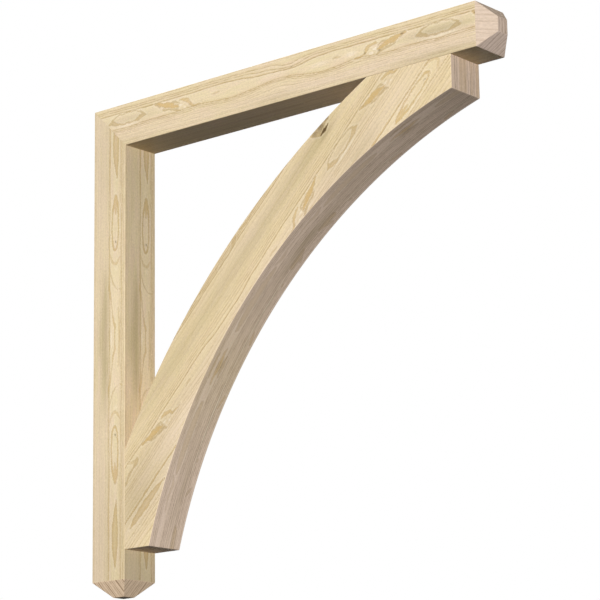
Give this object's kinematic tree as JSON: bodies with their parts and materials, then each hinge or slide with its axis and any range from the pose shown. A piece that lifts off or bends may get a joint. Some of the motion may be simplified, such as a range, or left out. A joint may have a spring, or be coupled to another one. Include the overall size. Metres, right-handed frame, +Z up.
{
  "type": "corbel bracket",
  "caption": "Open timber bracket for a wall: a post and a beam mitred at the corner, with chamfered free ends, and a curved brace between them.",
  "frame": {"origin": "on the post's back face, where it lies against the wall: in the middle of its width, and half-way up the bracket", "axes": "+X stands out from the wall along the beam, +Y runs across the bracket's thickness, +Z is up"},
  "size_m": [1.016, 0.0888, 1.016],
  "materials": {
    "planed_fir": "planed and unfinished, with an orange-brown grain"
  },
  "bodies": {
    "root": {"wall_post": "planed_fir", "top_beam": "planed_fir", "curved_brace": "planed_fir"}
  },
  "joints": []
}
